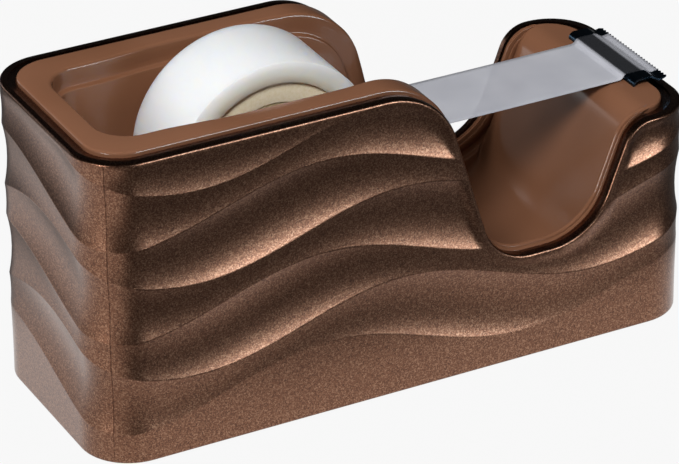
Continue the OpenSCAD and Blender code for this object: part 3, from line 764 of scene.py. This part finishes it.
def stage_white(name, seen_share):
    """A pale floor, whitened for what the camera and glass see, that keeps its shadows. Gloss sees
    a painted pool of white light round the object and to its left, so that the lacquer's foot and
    left end show a painted bright reflection and its waves stay deep."""
    made = bpy.data.materials.new(name)
    made.use_nodes = True
    tree = made.node_tree
    tree.nodes.remove(tree.nodes["Principled BSDF"])
    matt = add(tree, "ShaderNodeBsdfDiffuse", {"Color": linear("#5c5c5c")})
    glow = add(tree, "ShaderNodeEmission", {"Color": (1.0, 1.0, 1.0, 1.0), "Strength": 1.0})
    seen, in_gloss = light_paths(tree)
    seen = add(tree, "ShaderNodeMath", {0: seen, 1: seen_share}, operation="MULTIPLY")
    where = add(tree, "ShaderNodeTexCoord").outputs["Object"]
    sides = add(tree, "ShaderNodeVectorMath", {0: where}, operation="ABSOLUTE")
    past = add(tree, "ShaderNodeVectorMath", {0: sides.outputs["Vector"],
                                              1: (HALF_L * MM, HALF_W * MM, 0.0)},
               operation="SUBTRACT")
    past = add(tree, "ShaderNodeVectorMath", {0: past.outputs["Vector"], 1: (0.0, 0.0, 0.0)},
               operation="MAXIMUM")
    far = add(tree, "ShaderNodeVectorMath", {0: past.outputs["Vector"]}, operation="LENGTH")
    # painted pool of white light round the housing, seen only in the gloss
    pool = add(tree, "ShaderNodeMapRange",
               {"Value": far.outputs["Value"], "From Min": POOL_FULL * MM,
                "From Max": POOL_GONE * MM, "To Min": 1.0, "To Max": POOL_LEFT_OVER},
               interpolation_type="SMOOTHSTEP")
    left = add(tree, "ShaderNodeSeparateXYZ", {"Vector": where}).outputs["X"]
    left = add(tree, "ShaderNodeMapRange",
               {"Value": left, "From Min": -(HALF_L + LEFT_FULL) * MM,
                "From Max": -(HALF_L + LEFT_GONE) * MM, "To Min": 1.0, "To Max": 0.0},
               interpolation_type="SMOOTHSTEP")
    aside = add(tree, "ShaderNodeSeparateXYZ", {"Vector": sides.outputs["Vector"]}).outputs["Y"]
    aside = add(tree, "ShaderNodeMapRange",
                {"Value": aside, "From Min": ASIDE_FULL * MM, "From Max": ASIDE_GONE * MM,
                 "To Min": 1.0, "To Max": 0.0}, interpolation_type="SMOOTHSTEP")
    left = add(tree, "ShaderNodeMath", {0: left.outputs["Result"], 1: aside.outputs["Result"]},
               operation="MULTIPLY")
    pool = add(tree, "ShaderNodeMath", {0: pool.outputs["Result"], 1: left.outputs["Value"]},
               operation="MAXIMUM")
    gloss = add(tree, "ShaderNodeMath", {0: in_gloss, 1: pool.outputs["Value"]},
                operation="MULTIPLY")
    share = add(tree, "ShaderNodeMath", {0: seen.outputs["Value"], 1: gloss.outputs["Value"]},
                operation="MAXIMUM")
    mixed = add(tree, "ShaderNodeMixShader", {0: share.outputs["Value"], 1: matt.outputs["BSDF"],
                                              2: glow.outputs["Emission"]})
    tree.links.new(mixed.outputs["Shader"], tree.nodes["Material Output"].inputs["Surface"])
    return made


floor_grid = bmesh.new()
bmesh.ops.create_grid(floor_grid, x_segments=1, y_segments=1, size=FLOOR_SIZE)
floor_mesh = bpy.data.meshes.new("floor")
floor_grid.to_mesh(floor_mesh)
floor_grid.free()
floor = bpy.data.objects.new("floor", floor_mesh)
bpy.context.scene.collection.objects.link(floor)
floor_mesh.materials.append(stage_white("pale_floor", FLOOR_SEEN))

world = bpy.data.worlds.new("studio")
bpy.context.scene.world = world
world.use_nodes = True
sky = world.node_tree
sky.nodes.clear()
seen, in_gloss = light_paths(sky)
white = add(sky, "ShaderNodeBackground", {"Color": (1.0, 1.0, 1.0, 1.0), "Strength": 1.0})
dimmed = add(sky, "ShaderNodeMath", {0: in_gloss, 1: SKY_GLOSS - SKY_FILL, 2: SKY_FILL},
             operation="MULTIPLY_ADD")
fill = add(sky, "ShaderNodeBackground", {"Color": (0.95, 0.97, 1.0, 1.0),
                                         "Strength": dimmed.outputs["Value"]})
both = add(sky, "ShaderNodeMixShader", {0: seen, 1: fill.outputs["Background"],
                                        2: white.outputs["Background"]})
add(sky, "ShaderNodeOutputWorld", {"Surface": both.outputs["Shader"]})


def soft_box(name, place, aim, size, power, in_gloss=False, colour="#ffffff"):
    """An area lamp at a place, turned to a point, both in metres. It lights matt surfaces, or else
    only shows in the gloss."""
    lamp = bpy.data.lights.new(name, "AREA")
    lamp.shape, lamp.size, lamp.size_y, lamp.energy = "RECTANGLE", size[0], size[1], power
    lamp.color = linear(colour)[:3]
    box = bpy.data.objects.new(name, lamp)
    box.location = place
    box.rotation_mode = "QUATERNION"
    box.rotation_quaternion = (Vector(aim) - Vector(place)).to_track_quat("-Z", "Y")
    box.visible_camera, box.visible_glossy, box.visible_diffuse = False, in_gloss, not in_gloss
    bpy.context.scene.collection.objects.link(box)


soft_box("left_box", (-0.36, 0.30, 0.21), (0, 0, 0.02), (0.22, 0.2), 0.5)
soft_box("top_box", (0.05, 0.25, 0.9), (0, 0, 0.03), (0.6, 0.5), 0.9)
soft_box("front_box", (-0.42, -0.45, 0.72), (0, 0, 0.03), (0.3, 0.3), 7.0)
soft_box("front_right_strip", (0.40, -0.90, 0.13), (0, 0, 0.03), (0.5, 0.22), 5.9, True, "#e8f6ff")
soft_box("front_left_strip", (-0.90, -0.42, 0.13), (0, 0, 0.03), (0.3, 0.22), 3.0, True)
soft_box("back_left_strip", (-0.45, 0.85, 0.13), (0, 0, 0.03), (0.4, 0.22), 0.4, True)

# Camera: azimuth 0 looks along +Y, and roll turns the picture
AZIMUTH, ELEVATION, ROLL = math.radians(-27.673), math.radians(28.674), math.radians(-0.444)
LOOK_AT, DISTANCE = Vector((-16.163, -27.266, 41.290)), 772.0
FOCAL_LENGTH, SENSOR_W, CLIP_NEAR, CLIP_FAR = 213.53, 36.0, 0.01, 20.0
back = Vector((math.sin(AZIMUTH) * math.cos(ELEVATION), -math.cos(AZIMUTH) * math.cos(ELEVATION),
               math.sin(ELEVATION)))
level_right = (-back).cross(Vector((0, 0, 1))).normalized()
level_up = level_right.cross(-back)
right = level_right * math.cos(ROLL) + level_up * math.sin(ROLL)
above = -level_right * math.sin(ROLL) + level_up * math.cos(ROLL)
lens = bpy.data.cameras.new("view")
lens.lens, lens.sensor_width = FOCAL_LENGTH, SENSOR_W
lens.clip_start, lens.clip_end = CLIP_NEAR, CLIP_FAR
camera = bpy.data.objects.new("view", lens)
turn = Matrix((right, above, back)).transposed().to_4x4()
camera.matrix_world = Matrix.Translation((LOOK_AT + back * DISTANCE) * MM) @ turn
bpy.context.scene.collection.objects.link(camera)
bpy.context.scene.camera = camera
bpy.context.scene.view_settings.view_transform = "Standard"
